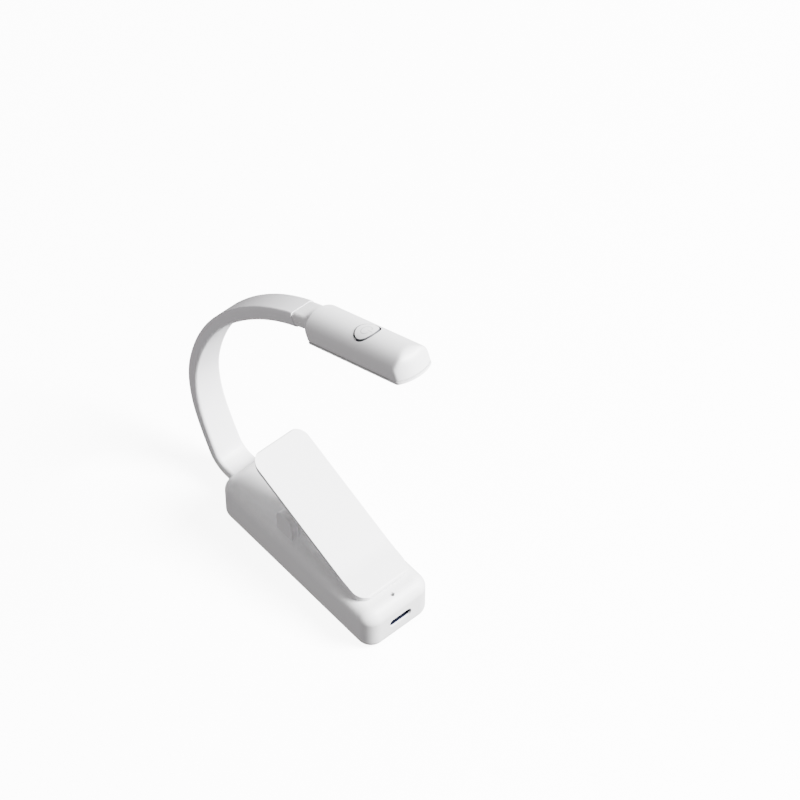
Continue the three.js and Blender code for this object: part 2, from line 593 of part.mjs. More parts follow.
function head() {
  const end = neckAt(NECK_LENGTH);
  const frame = new THREE.Group();
  frame.rotation.y = -end.heading;
  frame.position.set(
    end.x + Math.sin(end.heading) * HEAD.neckHeight, 0, end.z - Math.cos(end.heading) * HEAD.neckHeight,
  );
  frame.add(...headParts());
  const group = new THREE.Group();
  const cap = cut(
    join(
      neckBar(NECK.capStart, NECK_LENGTH + 4, capSection, 0, 3),
      neckBar(NECK_LENGTH + HEAD.shell + FIT, NECK_LENGTH + 3.5, flangeSection, 0, 3),
    ),
    neckBar(NECK.capStart - 1, NECK_LENGTH + 5, channelSection, 0, 3),
  );
  group.add(frame, piece("neck_end_cap", cap, WHITE_PLASTIC));
  const crimp = cut(
    neckBar(NECK_LENGTH + 5.5, NECK_LENGTH + 10, () => ({ width: 8, thickness: 3.6, corner: 0.5 })),
    neckBar(NECK_LENGTH + 4, NECK_LENGTH + 12, channelSection),
  );
  group.add(piece("strip_crimp", crimp, STEEL));
  return group;
}

const group = new THREE.Group();
group.add(housing(), clip(), neck(), head());
export default group;
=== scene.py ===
import math
import bpy
from mathutils import Matrix, Vector


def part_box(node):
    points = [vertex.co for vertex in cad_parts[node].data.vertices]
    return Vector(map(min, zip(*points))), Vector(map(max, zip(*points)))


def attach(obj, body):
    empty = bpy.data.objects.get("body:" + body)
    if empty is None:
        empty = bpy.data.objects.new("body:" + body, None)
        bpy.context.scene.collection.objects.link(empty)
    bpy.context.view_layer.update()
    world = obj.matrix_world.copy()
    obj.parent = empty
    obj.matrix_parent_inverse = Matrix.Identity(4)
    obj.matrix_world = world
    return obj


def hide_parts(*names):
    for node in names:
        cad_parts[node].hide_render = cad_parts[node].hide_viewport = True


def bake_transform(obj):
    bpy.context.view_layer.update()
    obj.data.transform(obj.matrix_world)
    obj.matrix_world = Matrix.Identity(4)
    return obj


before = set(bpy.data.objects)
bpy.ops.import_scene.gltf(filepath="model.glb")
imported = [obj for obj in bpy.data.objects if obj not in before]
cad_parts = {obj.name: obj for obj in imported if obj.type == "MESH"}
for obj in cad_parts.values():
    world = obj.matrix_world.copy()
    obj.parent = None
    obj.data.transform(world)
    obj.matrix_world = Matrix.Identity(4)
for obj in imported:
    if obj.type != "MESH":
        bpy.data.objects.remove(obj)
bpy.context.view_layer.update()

bpy.ops.object.select_all(action="DESELECT")

# ---------- camera ----------
# A long lens looks down on the lamp from its right front corner, from about 1.1 m away.
MM = 0.001
camera_azimuth, camera_elevation, camera_roll = 48.67, 51.54, 0.42
camera_place = Vector((507.4, -412.3, 910.7)) * MM

bpy.ops.object.camera_add()
camera = bpy.context.object
camera.data.sensor_width = 36
camera.data.lens = 147
camera.data.clip_start = 0.05
camera.matrix_world = (
    Matrix.Translation(camera_place)
    @ Matrix.Rotation(math.radians(camera_azimuth), 4, "Z")
    @ Matrix.Rotation(math.radians(90 - camera_elevation), 4, "X")
    @ Matrix.Rotation(math.radians(camera_roll), 4, "Z")
)
bpy.context.scene.camera = camera


# ---------- floor and studio light ----------
# A plain pale floor, a white room, one large soft key from the port end and a weak fill.
class Wire:
    """A socket of a material. Sums written with it add Math nodes, and add() adds any other node."""

    def __init__(self, tree, socket=None):
        self.tree, self.socket = tree, socket

    def add(self, kind, settings, inputs, output=0):
        made = self.tree.nodes.new(kind)
        for key, value in settings.items():
            setattr(made, key, value)
        for key, value in inputs.items():
            if isinstance(value, Wire):
                self.tree.links.new(value.socket, made.inputs[key])
            else:
                made.inputs[key].default_value = value
        return Wire(self.tree, made.outputs[output])

    def sum(self, operation, first, second):
        return self.add("ShaderNodeMath", {"operation": operation}, {0: first, 1: second})

    def __add__(self, other):
        return self.sum("ADD", self, other)

    def __sub__(self, other):
        return self.sum("SUBTRACT", self, other)

    def __rsub__(self, other):
        return self.sum("SUBTRACT", other, self)

    def __mul__(self, other):
        return self.sum("MULTIPLY", self, other)

    def __gt__(self, other):
        return self.sum("GREATER_THAN", self, other)

    def __lt__(self, other):
        return self.sum("LESS_THAN", self, other)

    __radd__, __rmul__ = __add__, __mul__

    def part(self, place, axis):
        """One coordinate of a place."""
        return self.add("ShaderNodeSeparateXYZ", {}, {"Vector": place}, output=axis)

    def noise(self, place, scale, detail=3):
        return self.add("ShaderNodeTexNoise", {}, {"Vector": place, "Scale": scale, "Detail": detail})

    def colours(self, share, first, second):
        mix = {"data_type": "RGBA"}
        return self.add("ShaderNodeMix", mix, {0: share, 6: (*first, 1), 7: (*second, 1)}, output=2)

    def bump(self, height, strength, distance):
        return self.add("ShaderNodeBump", {}, {"Height": height, "Strength": strength, "Distance": distance})


def new_material(name, **uniform):
    """A material, its shader node and a Wire on its tree. Values that are the same all over are set here."""
    material = bpy.data.materials.new(name)
    material.use_nodes = True
    shader = material.node_tree.nodes["Principled BSDF"]
    for key, value in uniform.items():
        shader.inputs[key.replace("_", " ")].default_value = value
    wire = Wire(material.node_tree)
    place = wire.add("ShaderNodeTexCoord", {}, {}, output="Object")
    return material, shader, wire, place


def feed(shader, wire, **varying):
    for key, value in varying.items():
        wire.tree.links.new(value.socket, shader.inputs[key.replace("_", " ")])


floor_paint, shader, wire, place = new_material("floor_paint", Roughness=0.9, Emission_Strength=8)
shader.inputs["Emission Color"].default_value = (1, 1, 1, 1)
feed(shader, wire, Base_Color=wire.colours(wire.noise(place, 3), (0.88, 0.88, 0.885), (0.9, 0.9, 0.9)))
bpy.ops.mesh.primitive_plane_add(size=4)
floor = bpy.context.object
floor.name = "floor"
floor.data.materials.append(floor_paint)
floor.visible_diffuse = floor.visible_glossy = False  # it doesn't throw light back up on the lamp

room = bpy.data.worlds.new("white_room")
bpy.context.scene.world = room
room.use_nodes = True
room.node_tree.nodes["Background"].inputs["Color"].default_value = (1, 0.96, 0.98, 1)
room.node_tree.nodes["Background"].inputs["Strength"].default_value = 0.3


def soft_light(name, place, size, power):
    bpy.ops.object.light_add(type="AREA", location=place)
    lamp = bpy.context.object
    lamp.name = name
    lamp.data.shape = "DISK"
    lamp.data.size = size
    lamp.data.energy = power
    lamp.rotation_euler = (-Vector(place)).to_track_quat("-Z", "Y").to_euler()


soft_light("key_light", (1.1, 0.92, 1.45), 1.0, 330)
soft_light("fill_light", (-0.55, -1.5, 0.8), 1.2, 7)


# ---------- base cover ----------
# A shallow tray of white ABS with a flat underside and rounded edges. It is injection moulded with a fine
# spark texture, and four screws hold it up against the top cover.
white_plastic, shader, wire, place = new_material("white_plastic", Specular_IOR_Level=0.45)
cloud = wire.noise(place, 60)
spark_grain, spark_depth = 2600, 0.04 * MM
texture = wire.noise(place, spark_grain, 2)
feed(
    shader, wire,
    Base_Color=wire.colours(cloud, (0.79, 0.79, 0.80), (0.82, 0.82, 0.825)),
    Roughness=0.4 + 0.06 * cloud + 0.05 * texture,
    Normal=wire.bump(texture, 0.1, spark_depth),
)
same_place = 0.001 * MM


def block(name, low, high):
    """A box between two corners. The object itself stays at the origin."""
    low, high = Vector(low), Vector(high)
    bpy.ops.mesh.primitive_cube_add(size=1, location=(low + high) / 2)
    piece = bpy.context.object
    piece.name = name
    piece.scale = high - low
    bpy.ops.object.transform_apply(location=True, rotation=True, scale=True)
    return piece


def rod(name, radius, start, end, sides=48):
    """A round bar between two points."""
    start, end = Vector(start), Vector(end)
    bpy.ops.mesh.primitive_cylinder_add(vertices=sides, radius=radius, depth=(end - start).length)
    piece = bpy.context.object
    piece.name = name
    piece.rotation_euler = (end - start).to_track_quat("Z", "Y").to_euler()
    piece.location = (start + end) / 2
    bpy.ops.object.transform_apply(location=True, rotation=True, scale=True)
    return piece


def pick(piece, kind, wanted):
    """Goes into edit mode with only the wanted edges or faces selected."""
    bpy.ops.object.select_all(action="DESELECT")
    piece.select_set(True)
    bpy.context.view_layer.objects.active = piece
    bpy.ops.object.mode_set(mode="EDIT")
    bpy.ops.mesh.select_mode(type=kind)
    bpy.ops.mesh.select_all(action="DESELECT")
    bpy.ops.object.mode_set(mode="OBJECT")
    corners = piece.data.vertices
    for item in piece.data.edges if kind == "EDGE" else piece.data.polygons:
        item.select = wanted([corners[i].co for i in item.vertices])
    bpy.ops.object.mode_set(mode="EDIT")


def bevel_picked(width, segments):
    bpy.ops.mesh.bevel(offset=width, segments=segments, profile=0.5, clamp_overlap=False)
    bpy.ops.object.mode_set(mode="OBJECT")


def along(axis, corners):
    """True if an edge runs along an axis."""
    run = corners[1] - corners[0]
    return abs(run[axis]) > 0.99 * run.length


def boolean(piece, tool, operation="DIFFERENCE"):
    """Cuts a piece by a tool, joins them or keeps what they share, and uses the tool up."""
    modifier = piece.modifiers.new("shape", "BOOLEAN")
    modifier.operation, modifier.object, modifier.solver = operation, tool, "EXACT"
    bpy.context.view_layer.objects.active = piece
    bpy.ops.object.modifier_apply(modifier=modifier.name)
    bpy.data.objects.remove(tool)


def soften(piece, width, segments=3, angle=35):
    """Breaks the sharp edges of a finished shape and shades it."""
    bpy.ops.object.select_all(action="DESELECT")
    piece.select_set(True)
    bpy.context.view_layer.objects.active = piece
    modifier = piece.modifiers.new("edges", "BEVEL")
    modifier.width, modifier.segments = width, segments
    modifier.limit_method, modifier.angle_limit = "ANGLE", math.radians(angle)
    modifier.miter_outer = "MITER_ARC"
    bpy.ops.object.modifier_apply(modifier=modifier.name)
    bpy.ops.object.shade_smooth_by_angle(angle=math.radians(angle))


def finish_piece(piece, material, body, slot, *nodes):
    """Paints a piece, sets what it moves with and hides the CAD nodes that it stands for."""
    piece.data.materials.clear()
    piece.data.materials.append(material)
    if body:
        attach(piece, body)
    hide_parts(*nodes)


housing_low, housing_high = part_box("base_cover")
housing_top = (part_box("jaw_pad_lower")[0].z / MM + 0.8) * MM
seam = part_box("top_cover")[0].z
wall = 1.5 * MM


def housing_block(name, inset, top):
    """The rounded box of the housing, or of its inside, with filleted edges all round."""
    corner, low_fillet, top_fillet = 5.5 * MM - inset, 3.4 * MM - inset, 4.8 * MM - inset
    low, high = housing_low.xy.to_3d(), housing_high.xy.to_3d()
    low += Vector((inset, inset, inset))
    high += Vector((-inset, -inset, top - inset))
    piece = block(name, low, high)
    pick(piece, "EDGE", lambda corners: along(2, corners))
    bevel_picked(corner, 16)
    pick(piece, "EDGE", lambda corners: all(abs(c.z - low.z) < same_place for c in corners))
    bevel_picked(low_fillet, 12)
    pick(piece, "EDGE", lambda corners: all(abs(c.z - high.z) < same_place for c in corners))
    bevel_picked(top_fillet, 14)
    return piece


def trim(piece, height, keep_above):
    """Cuts a piece off level at a height and closes the cut."""
    pick(piece, "FACE", lambda corners: True)
    bpy.ops.mesh.bisect(
        plane_co=(0, 0, height), plane_no=(0, 0, 1), use_fill=True,
        clear_inner=keep_above, clear_outer=not keep_above,
    )
    bpy.ops.object.mode_set(mode="OBJECT")


screw_places = [sum(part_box(f"base_screw_{i}"), Vector()) / 2 for i in range(1, 5)]
clearance_radius, recess_radius, recess_depth = 1.1 * MM, 2 * MM, 0.95 * MM
base = housing_block("base_cover_shell", 0, housing_top)
seam_gap = 0.15 * MM
trim(base, seam - seam_gap, keep_above=False)
boolean(base, housing_block("inside", wall, housing_top))
for spot in screw_places:
    under = (spot.x, spot.y, -MM)
    boolean(base, rod("hole", clearance_radius, under, (spot.x, spot.y, 3 * MM)))
    boolean(base, rod("recess", recess_radius, under, (spot.x, spot.y, recess_depth)))
soften(base, 0.08 * MM, 2)
finish_piece(base, white_plastic, "housing", "white_plastic", "base_cover")


# ---------- top cover ----------
# The deep upper half of the housing in the same white ABS. The ears that carry the clip's pin and the collar
# that the neck comes out of are moulded in one with it, and the charging port and a light hole go through it.
def neck_at(distance):
    """The place and heading, in x and z, at a distance along the neck's centreline."""
    x, z, heading = -39.7 * MM, 7.9 * MM, math.pi
    left = distance
    arcs = [  # millimetres along and degrees turned
        (6.5, 0), (8.7, 61.7), (13.9, 6), (29.4, 35), (41.9, 24.2), (25.1, 10.4), (35, 18.5), (99, 0),
    ]
    for arc_length, turn in arcs:
        run = min(left, arc_length * MM)
        rate = math.radians(turn) / (arc_length * MM)
        turned = heading - rate * run
        x += (math.sin(heading) - math.sin(turned)) / rate if rate else run * math.cos(heading)
        z += (math.cos(turned) - math.cos(heading)) / rate if rate else run * math.sin(heading)
        heading = turned
        left -= run
        if left <= 0:
            break
    return x, z, heading


neck_length = 160.5 * MM
neck_root_width, neck_tip_width, neck_corner = 11.6 * MM, 9.4 * MM, 1.3 * MM
neck_thickness, neck_tip_thickness, thickens_from = 4.6 * MM, 5.4 * MM, 100 * MM
collar_end, cap_start = 12 * MM, 150.7 * MM


def neck_bar(name, start, end, width, thickness, corner, offset=0, spacing=1.2 * MM, shape=None):
    """A flat bar with rounded corners, drawn straight along X and then laid along the neck."""
    side, low, high = width / 2, offset - thickness / 2, offset + thickness / 2
    piece = block(name, (start, -side, low), (end, side, high))
    pick(piece, "EDGE", lambda corners: along(0, corners))
    bevel_picked(corner, 7)
    pick(piece, "EDGE", lambda corners: along(0, corners) and (corners[1] - corners[0]).length > spacing)
    bpy.ops.mesh.subdivide(number_cuts=math.ceil((end - start) / spacing))
    bpy.ops.object.mode_set(mode="OBJECT")
    for vertex in piece.data.vertices:
        distance, side, height = vertex.co
        wider, thicker = shape(distance) if shape else (1, 1)
        x, z, heading = neck_at(distance)
        height *= thicker
        vertex.co = (x - math.sin(heading) * height, side * wider, z + math.cos(heading) * height)
    return piece


flare_length, flare_wider, flare_thicker = 5 * MM, 3 * MM, 1.6 * MM


def collar_shape(distance):
    """How much wider and thicker the collar is than the neck. It flares out towards the housing."""
    flare = max(0, 1 - distance / flare_length) ** 2
    return 1 + flare_wider / neck_root_width * flare, 1 + flare_thicker / neck_thickness * flare


def channel(start, end):
    """The passage through the neck for its strip and its lead."""
    return neck_bar("channel", start, end, 6 * MM, 2.5 * MM, 0.5 * MM, spacing=2 * MM)


def smooth_finish(piece, angle=35):
    """Shades the curves smoothly and keeps the flat faces flat."""
    bpy.ops.object.select_all(action="DESELECT")
    piece.select_set(True)
    bpy.context.view_layer.objects.active = piece
    bpy.ops.object.shade_smooth_by_angle(angle=math.radians(angle))
    modifier = piece.modifiers.new("normals", "WEIGHTED_NORMAL")
    modifier.keep_sharp = True
    bpy.ops.object.modifier_apply(modifier=modifier.name)


pivot = sum(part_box("clip_pivot_pin"), Vector()) / 2
ear_radius, ear_inner, ear_outer = 4.1 * MM, 8.3 * MM, 11.3 * MM
pin_bore, full_round = 1.15 * MM, 0.998
boss_radius, boss_foot, thread_radius = 2.3 * MM, 1.9 * MM, 0.9 * MM
pad_low, pad_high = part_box("jaw_pad_lower")
port_low, port_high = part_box("usb_socket")
fit = 0.3 * MM

cover = housing_block("top_cover_shell", 0, housing_top)
trim(cover, seam, keep_above=True)
boolean(cover, housing_block("inside", wall, housing_top))
for side in (-1, 1):
    near, far = sorted((side * ear_inner, side * ear_outer))
    ear = block(
        "ear",
        (pivot.x - ear_radius, near, housing_top - wall / 2),
        (pivot.x + ear_radius, far, pivot.z + ear_radius),
    )
    pick(ear, "EDGE", lambda corners: along(1, corners) and corners[0].z > pivot.z)
    bevel_picked(ear_radius * full_round, 20)
    pick(ear, "EDGE", lambda corners: corners[0].z > housing_top and not along(1, corners))
    bevel_picked(0.3 * MM, 3)
    boolean(cover, ear, "UNION")
    bore_ends = [(pivot.x, side * y, pivot.z) for y in (7 * MM, 10.5 * MM)]
    boolean(cover, rod("bore", pin_bore, *bore_ends))
for spot in screw_places:
    foot, roof = (Vector((spot.x, spot.y, z)) for z in (boss_foot, housing_top - wall / 2))
    boolean(cover, rod("boss", boss_radius, foot, roof), "UNION")
    boolean(cover, rod("bore", thread_radius, (spot.x, spot.y, MM), (spot.x, spot.y, 8 * MM)))
collar = neck_bar(
    "collar", -MM, collar_end,
    neck_root_width, neck_thickness, neck_corner, spacing=0.6 * MM, shape=collar_shape,
)
boolean(cover, collar, "UNION")
boolean(cover, channel(-4 * MM, collar_end + MM))

port_fit = 0.25 * MM
port_hole = block(
    "port_hole",
    (housing_high.x - 3 * MM, port_low.y - port_fit, port_low.z - port_fit),
    (housing_high.x + MM, port_high.y + port_fit, port_high.z + port_fit),
)
pick(port_hole, "EDGE", lambda corners: along(0, corners))
bevel_picked(1.7 * MM, 12)
boolean(cover, port_hole)
light_pipe_radius, light_hole_radius = 0.6 * MM, 0.75 * MM
light_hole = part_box("charge_light_pipe")[1].x - light_pipe_radius
boolean(cover, rod("light_hole", light_hole_radius, (light_hole, 0, 15 * MM), (light_hole, 0, 19 * MM)))
boolean(cover, block(
    "pad_pocket",
    (pad_low.x - fit, pad_low.y - fit, housing_top - 0.9 * MM),
    (pad_high.x + fit, pad_high.y + fit, housing_top + MM),
))
smooth_finish(cover)
finish_piece(cover, white_plastic, "housing", "white_plastic", "top_cover")


# ---------- screws ----------
# Small plated steel screws with pan heads and a cross recess. Four hold the base cover, and two more clamp
# the neck's anchor under the roof.
def metal(name, first, second, roughness, along_grain=(1, 1, 1), grain=1400):
    material, shader, wire, place = new_material(name, Metallic=1.0)
    drawn = wire.add("ShaderNodeMapping", {}, {"Vector": place, "Scale": along_grain})
    lines = wire.noise(drawn, grain, 2)
    feed(
        shader, wire,
        Base_Color=wire.colours(wire.noise(place, 200), first, second),
        Roughness=roughness + 0.2 * lines,
        Normal=wire.bump(lines, 0.15, 0.03 * MM),
    )
    return material


plated_steel = metal("plated_steel", (0.62, 0.63, 0.65), (0.52, 0.53, 0.55), 0.25)


def screw(name, node, head_radius, head_height):
    """A screw that stands on its head, with its cross recess underneath."""
    low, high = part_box(node)
    x, y = (low.x + high.x) / 2, (low.y + high.y) / 2
    piece = rod(name, head_radius, (x, y, low.z), (x, y, low.z + head_height), 48)
    pick(piece, "EDGE", lambda corners: all(abs(c.z - low.z) < same_place for c in corners))
    bevel_picked(head_height * 0.5, 5)
    shank_start = (x, y, low.z + head_height / 2)
    boolean(piece, rod("shank", head_radius * 0.44, shank_start, (x, y, high.z), 24), "UNION")
    arm, half = head_radius * 0.6, head_radius * 0.13
    for run, across in ((arm, half), (half, arm)):
        deep = low.z + head_height * 0.7
        boolean(piece, block("cross", (x - run, y - across, low.z - MM), (x + run, y + across, deep)))
    smooth_finish(piece)
    finish_piece(piece, plated_steel, "housing", "steel", node)


for number in range(1, 5):
    screw(f"housing_screw_{number}", f"base_screw_{number}", 1.7 * MM, 0.7 * MM)
for number in (1, 2):
    screw(f"clamp_screw_{number}", f"anchor_screw_{number}", 1.6 * MM, 1.05 * MM)


# ---------- battery and foam tape ----------
# A lithium polymer pouch in aluminium foil, with the fine creases of its wrapper. Foam tape sticks it to the
# floor of the base cover.
def paint(node, material):
    """Gives a node of the frame its finish."""
    piece = bpy.data.objects[node]
    piece.data.materials.clear()
    piece.data.materials.append(material)


foil, shader, wire, place = new_material("battery_foil", Metallic=0.85)
creases = wire.noise(place, 260, 5)
feed(
    shader, wire,
    Base_Color=wire.colours(creases, (0.62, 0.63, 0.66), (0.74, 0.75, 0.77)),
    Roughness=0.22 + 0.25 * creases,
    Normal=wire.bump(creases, 0.5, 0.2 * MM),
)
paint("battery_cell", foil)

foam, shader, wire, place = new_material("foam_tape")
cells = wire.add("ShaderNodeTexVoronoi", {}, {"Vector": place, "Scale": 1500})
feed(
    shader, wire,
    Base_Color=wire.colours(cells, (0.7, 0.7, 0.66), (0.86, 0.86, 0.82)),
    Roughness=0.8 + 0.15 * cells,
    Normal=wire.bump(cells, 0.4, 0.1 * MM),
)
paint("battery_tape", foam)


# ---------- charger board ----------
# A green glass-fibre board on four posts with the charging chip, a signal LED and a clear acrylic light pipe
# that ends under the small hole in the roof.
solder_mask, shader, wire, place = new_material("circuit_board", Roughness=0.35)
tracks = wire.add("ShaderNodeTexBrick", {"offset": 0.37}, {
    "Vector": place, "Scale": 420, "Mortar Size": 0.05,
    "Color1": (1, 1, 1, 1), "Color2": (0.8, 0.8, 0.8, 1), "Mortar": (0, 0, 0, 1),
})
feed(
    shader, wire,
    Base_Color=wire.colours(tracks, (0.04, 0.22, 0.09), (0.02, 0.13, 0.05)),
    Normal=wire.bump(tracks, 0.2, 0.03 * MM),
)
paint("main_board", solder_mask)


def moulded_black(name, shade, roughness):
    material, shader, wire, place = new_material(name)
    grain = wire.noise(place, 2200, 2)
    feed(
        shader, wire,
        Base_Color=wire.colours(grain, (shade, shade, shade * 1.1), (shade * 1.6, shade * 1.6, shade * 1.7)),
        Roughness=roughness + 0.15 * grain,
        Normal=wire.bump(grain, 0.15, 0.03 * MM),
    )
    return material


chip_black = moulded_black("chip_black", 0.012, 0.45)
paint("charger_chip", chip_black)

phosphor, shader, wire, place = new_material("led_lens", Roughness=0.3)
feed(shader, wire, Base_Color=wire.colours(wire.noise(place, 900), (0.85, 0.72, 0.25), (0.92, 0.82, 0.4)))
paint("charge_led", phosphor)

acrylic, shader, wire, place = new_material("clear_plastic", Transmission_Weight=0.9, IOR=1.49)
haze = wire.noise(place, 500)
feed(
    shader, wire,
    Base_Color=wire.colours(haze, (0.93, 0.95, 0.96), (0.98, 0.98, 0.99)),
    Roughness=0.05 + 0.1 * haze,
)
paint("charge_light_pipe", acrylic)


# ---------- charging port ----------
# A rolled shell of tin-plated steel with a rounded mouth, and a black tongue inside it with gold contacts on
# both faces. It is soldered to the front edge of the board.
# Painted shade: the shell is coloured near-black navy to stand for the dark inside of the slot; bare tinned
# steel is bright.
port_shell_painted_shade = metal("port_shell_painted_shade", (0.06, 0.07, 0.13), (0.04, 0.05, 0.09), 0.25, (0.1, 1, 1))
socket_shell = block("charging_port", port_low, port_high)
pick(socket_shell, "EDGE", lambda corners: along(0, corners))
bevel_picked(1.5 * MM, 12)
port_wall = 0.3 * MM
bore = block("bore", port_low + Vector((2, 1, 1)) * port_wall, port_high + Vector((4, -1, -1)) * port_wall)
pick(bore, "EDGE", lambda corners: along(0, corners))
bevel_picked(1.25 * MM, 12)
boolean(socket_shell, bore)
soften(socket_shell, 0.06 * MM, 2, 50)
smooth_finish(socket_shell)
finish_piece(socket_shell, port_shell_painted_shade, "housing", "tinned_steel", "usb_socket")

tongue_low, tongue_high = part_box("usb_tongue")
contacts, shader, wire, place = new_material("port_tongue_black", Roughness=0.4)
contact_pitch, gap_share, bare_tip = 0.5 * MM, 0.55, 1.2 * MM
in_stripe = wire.sum("FRACT", wire.part(place, "Y") * (1 / contact_pitch), 0) > gap_share
gold = in_stripe * (tongue_high.x - bare_tip > wire.part(place, "X"))
feed(shader, wire, Base_Color=wire.colours(gold, (0.012, 0.012, 0.016), (0.75, 0.55, 0.22)), Metallic=gold)
tongue = block("port_tongue", tongue_low, tongue_high)
soften(tongue, 0.12 * MM, 3)
smooth_finish(tongue)
finish_piece(tongue, contacts, "housing", "black_plastic", "usb_tongue")


# ---------- jaw pads ----------
# Two strips of soft white rubber with shallow ribs across them, glued into pockets in the housing's roof and
# under the clip's jaw so that they grip a page or a shelf.
rubber, shader, wire, place = new_material("soft_pad", Specular_IOR_Level=0.3)
bloom = wire.noise(place, 320)
feed(
    shader, wire,
    Base_Color=wire.colours(bloom, (0.66, 0.66, 0.67), (0.72, 0.72, 0.73)),
    Roughness=0.68 + 0.15 * bloom,
    Normal=wire.bump(wire.noise(place, 3000, 2), 0.25, spark_depth),
)


def jaw_pad(name, node, ribbed_side, body):
    """A pad with grooves pressed into its upper side, or into its lower side if ribbed_side is -1."""
    low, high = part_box(node)
    grooves, groove_depth = 9, 0.22 * MM
    piece = block(name, low, high)
    pick(piece, "EDGE", lambda corners: along(0, corners))
    bpy.ops.mesh.subdivide(number_cuts=2 * grooves)
    bpy.ops.object.mode_set(mode="OBJECT")
    pitch = (high.x - low.x) / (2 * grooves + 1)
    face_height = high.z if ribbed_side > 0 else low.z

    def is_groove(corners):
        middle = sum(c.x for c in corners) / len(corners)
        level = all(abs(c.z - face_height) < same_place for c in corners)
        return level and int((middle - low.x) / pitch) % 2 == 1

    pick(piece, "FACE", is_groove)
    bpy.ops.mesh.inset(thickness=0.06 * MM, use_individual=True)
    bpy.ops.transform.translate(value=(0, 0, -ribbed_side * groove_depth))
    bpy.ops.object.mode_set(mode="OBJECT")
    smooth_finish(piece, 25)
    finish_piece(piece, rubber, body, "soft_pad", node)


jaw_pad("housing_jaw_pad", "jaw_pad_lower", 1, "housing")
jaw_pad("lever_jaw_pad", "jaw_pad_upper", -1, "lever")


# ---------- clip lever ----------
# One moulding in white ABS: a sloping thumb plate that bends down into the jaw at its front, with two lugs
# under it that turn on the pivot pin.
lever_low, lever_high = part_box("clip_lever")
lever_half, lever_thickness, lever_slope = 11.05 * MM, 1.7 * MM, 0.415
knee, jaw_underside = 21.3 * MM, housing_top + 0.4 * MM
lever_drop = lever_thickness * math.hypot(1, lever_slope)


def plate_top(x):
    """The height of the thumb plate's upper side, which is highest at its rear end."""
    return 42.2 * MM - lever_slope * (x - lever_low.x)


def at_x(x, corners):
    return all(abs(c.x - x) < same_place for c in corners)


knee_top = plate_top(knee)
before_knee, after_knee = knee - 1.5 * MM, knee + MM
lever = block(
    "thumb_lever", (lever_low.x, -lever_half, knee_top - lever_drop), (before_knee, lever_half, knee_top))
pick(lever, "FACE", lambda corners: at_x(lever_low.x, corners))
bpy.ops.transform.translate(value=(0, 0, plate_top(lever_low.x) - knee_top))
bpy.ops.object.mode_set(mode="OBJECT")
pick(lever, "FACE", lambda corners: at_x(before_knee, corners))
bpy.ops.transform.translate(value=(0, 0, lever_slope * (knee - before_knee)))
for length, fall in ((after_knee - before_knee, 0.4), (lever_high.x - after_knee, 0.28)):
    bpy.ops.mesh.extrude_region_move(TRANSFORM_OT_translate={"value": (length, 0, -fall * length)})
bpy.ops.object.mode_set(mode="OBJECT")
for place_x in (after_knee, lever_high.x):
    bottom = min(v.co.z for v in lever.data.vertices if abs(v.co.x - place_x) < same_place)
    pick(lever, "EDGE", lambda corners: at_x(place_x, corners) and all(
        c.z < bottom + same_place for c in corners))
    bpy.ops.transform.translate(value=(0, 0, jaw_underside - bottom))
    bpy.ops.object.mode_set(mode="OBJECT")


def crosswise(x, upper):
    """Picks the lever's edge that runs across it at x, on its upper or its lower side."""
    heights = [v.co.z for v in lever.data.vertices if abs(v.co.x - x) < same_place]
    height = max(heights) if upper else min(heights)
    pick(lever, "EDGE", lambda corners: at_x(x, corners) and all(
        abs(c.z - height) < same_place for c in corners))


for x, upper, width, segments in (
    (lever_high.x, True, 0.85 * MM, 8),
    (lever_high.x, False, 0.5 * MM, 5),
    (after_knee, True, 2.2 * MM, 8),
    (lever_low.x, True, 1 * MM, 6),
    (lever_low.x, False, 0.5 * MM, 4),
):
    crosswise(x, upper)
    bevel_picked(width, segments)

plan = block("plan", (lever_low.x, -lever_half, 0), (lever_high.x, lever_half, 60 * MM))
pick(plan, "EDGE", lambda corners: along(2, corners))
bevel_picked(5 * MM, 20)
boolean(lever, plan, "INTERSECT")
soften(lever, 0.4 * MM, 4, 40)

lug_radius, lug_inner, lug_outer = 3.3 * MM, 5.2 * MM, 8 * MM
for side in (-1, 1):
    near, far = sorted((side * lug_inner, side * lug_outer))
    lug_top = plate_top(pivot.x + lug_radius) - 0.8 * MM
    lug = block(
        "lug", (pivot.x - lug_radius, near, pivot.z - lug_radius), (pivot.x + lug_radius, far, lug_top))
    pick(lug, "EDGE", lambda corners: along(1, corners) and corners[0].z < pivot.z)
    bevel_picked(lug_radius * full_round, 20)
    pick(lug, "EDGE", lambda corners: (
        along(1, corners) and corners[0].z > pivot.z and corners[0].x < pivot.x))
    bpy.ops.transform.translate(value=(0, 0, lever_slope * 2 * lug_radius))
    bpy.ops.object.mode_set(mode="OBJECT")
    boolean(lever, lug, "UNION")
bore_end = lug_outer + MM
boolean(lever, rod("bore", pin_bore, (pivot.x, -bore_end, pivot.z), (pivot.x, bore_end, pivot.z)))
boolean(lever, block(
    "pad_pocket",
    (pad_low.x - fit, pad_low.y - fit, jaw_underside - MM),
    (pad_high.x + fit, pad_high.y + fit, jaw_underside + 0.85 * MM),
))
smooth_finish(lever)
finish_piece(lever, white_plastic, "lever", "white_plastic", "clip_lever")


# ---------- pivot pin and spring ----------
# A ground steel pin through both pairs of lugs, and a torsion spring wound from round wire about it. One leg
# presses on the roof and the other lifts the thumb plate, which keeps the jaw shut.
pin_low, pin_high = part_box("clip_pivot_pin")
pin_radius = (pin_high.z - pin_low.z) / 2
pin = rod("hinge_pin", pin_radius, (pivot.x, pin_low.y, pivot.z), (pivot.x, pin_high.y, pivot.z))
soften(pin, 0.15 * MM, 3, 60)
smooth_finish(pin)
finish_piece(pin, plated_steel, "housing", "steel", "clip_pivot_pin")

